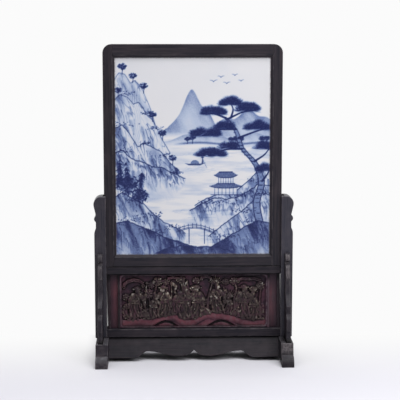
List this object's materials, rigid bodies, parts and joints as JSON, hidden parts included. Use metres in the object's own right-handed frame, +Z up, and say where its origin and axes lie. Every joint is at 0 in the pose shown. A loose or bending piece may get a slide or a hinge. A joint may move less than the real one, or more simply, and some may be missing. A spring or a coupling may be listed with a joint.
{
  "type": "table screen",
  "caption": "Table screen: a framed porcelain plaque that lifts out of a dark hardwood stand with grooved posts, standing brackets, a carved lacquer panel and sloping aprons.",
  "frame": {"origin": "on the table, under the middle of the stand", "axes": "+Z up, -Y towards the front of the screen, +X to the viewer's right"},
  "size_m": [0.3232, 0.148, 0.512],
  "materials": {
    "dark_wood": "satin, worn at the edges",
    "red_lacquer": "worn lacquer with traces of gilding",
    "porcelain": "gloss glaze over cobalt painting",
    "plain_board": "planed, unpolished",
    "wedge_wood": "raw end grain"
  },
  "bodies": {
    "stand": {"left_post": "dark_wood", "right_post": "dark_wood", "left_foot": "dark_wood", "right_foot": "dark_wood", "front_left_bracket": "dark_wood", "front_right_bracket": "dark_wood", "rear_left_bracket": "dark_wood", "rear_right_bracket": "dark_wood", "upper_rail": "dark_wood", "lower_rail": "dark_wood", "carved_panel": "red_lacquer", "left_strut": "dark_wood", "right_strut": "dark_wood", "left_end_panel": "red_lacquer", "right_end_panel": "red_lacquer", "left_fillet": "dark_wood", "right_fillet": "dark_wood", "front_apron": "dark_wood", "rear_apron": "dark_wood", "post_tenon_wedges": "wedge_wood"},
    "screen": {"screen_left_stile": "dark_wood", "screen_right_stile": "dark_wood", "screen_top_rail": "dark_wood", "screen_bottom_rail": "dark_wood", "porcelain_plaque": "porcelain", "back_board": "plain_board", "back_top_bead": "dark_wood", "back_bottom_bead": "dark_wood", "back_left_bead": "dark_wood", "back_right_bead": "dark_wood"}
  },
  "joints": [
    {"name": "screen_lift", "type": "slide", "parent": "stand", "child": "screen", "axis": [0, 0, 1], "range_m": [0, 0.125]}
  ]
}
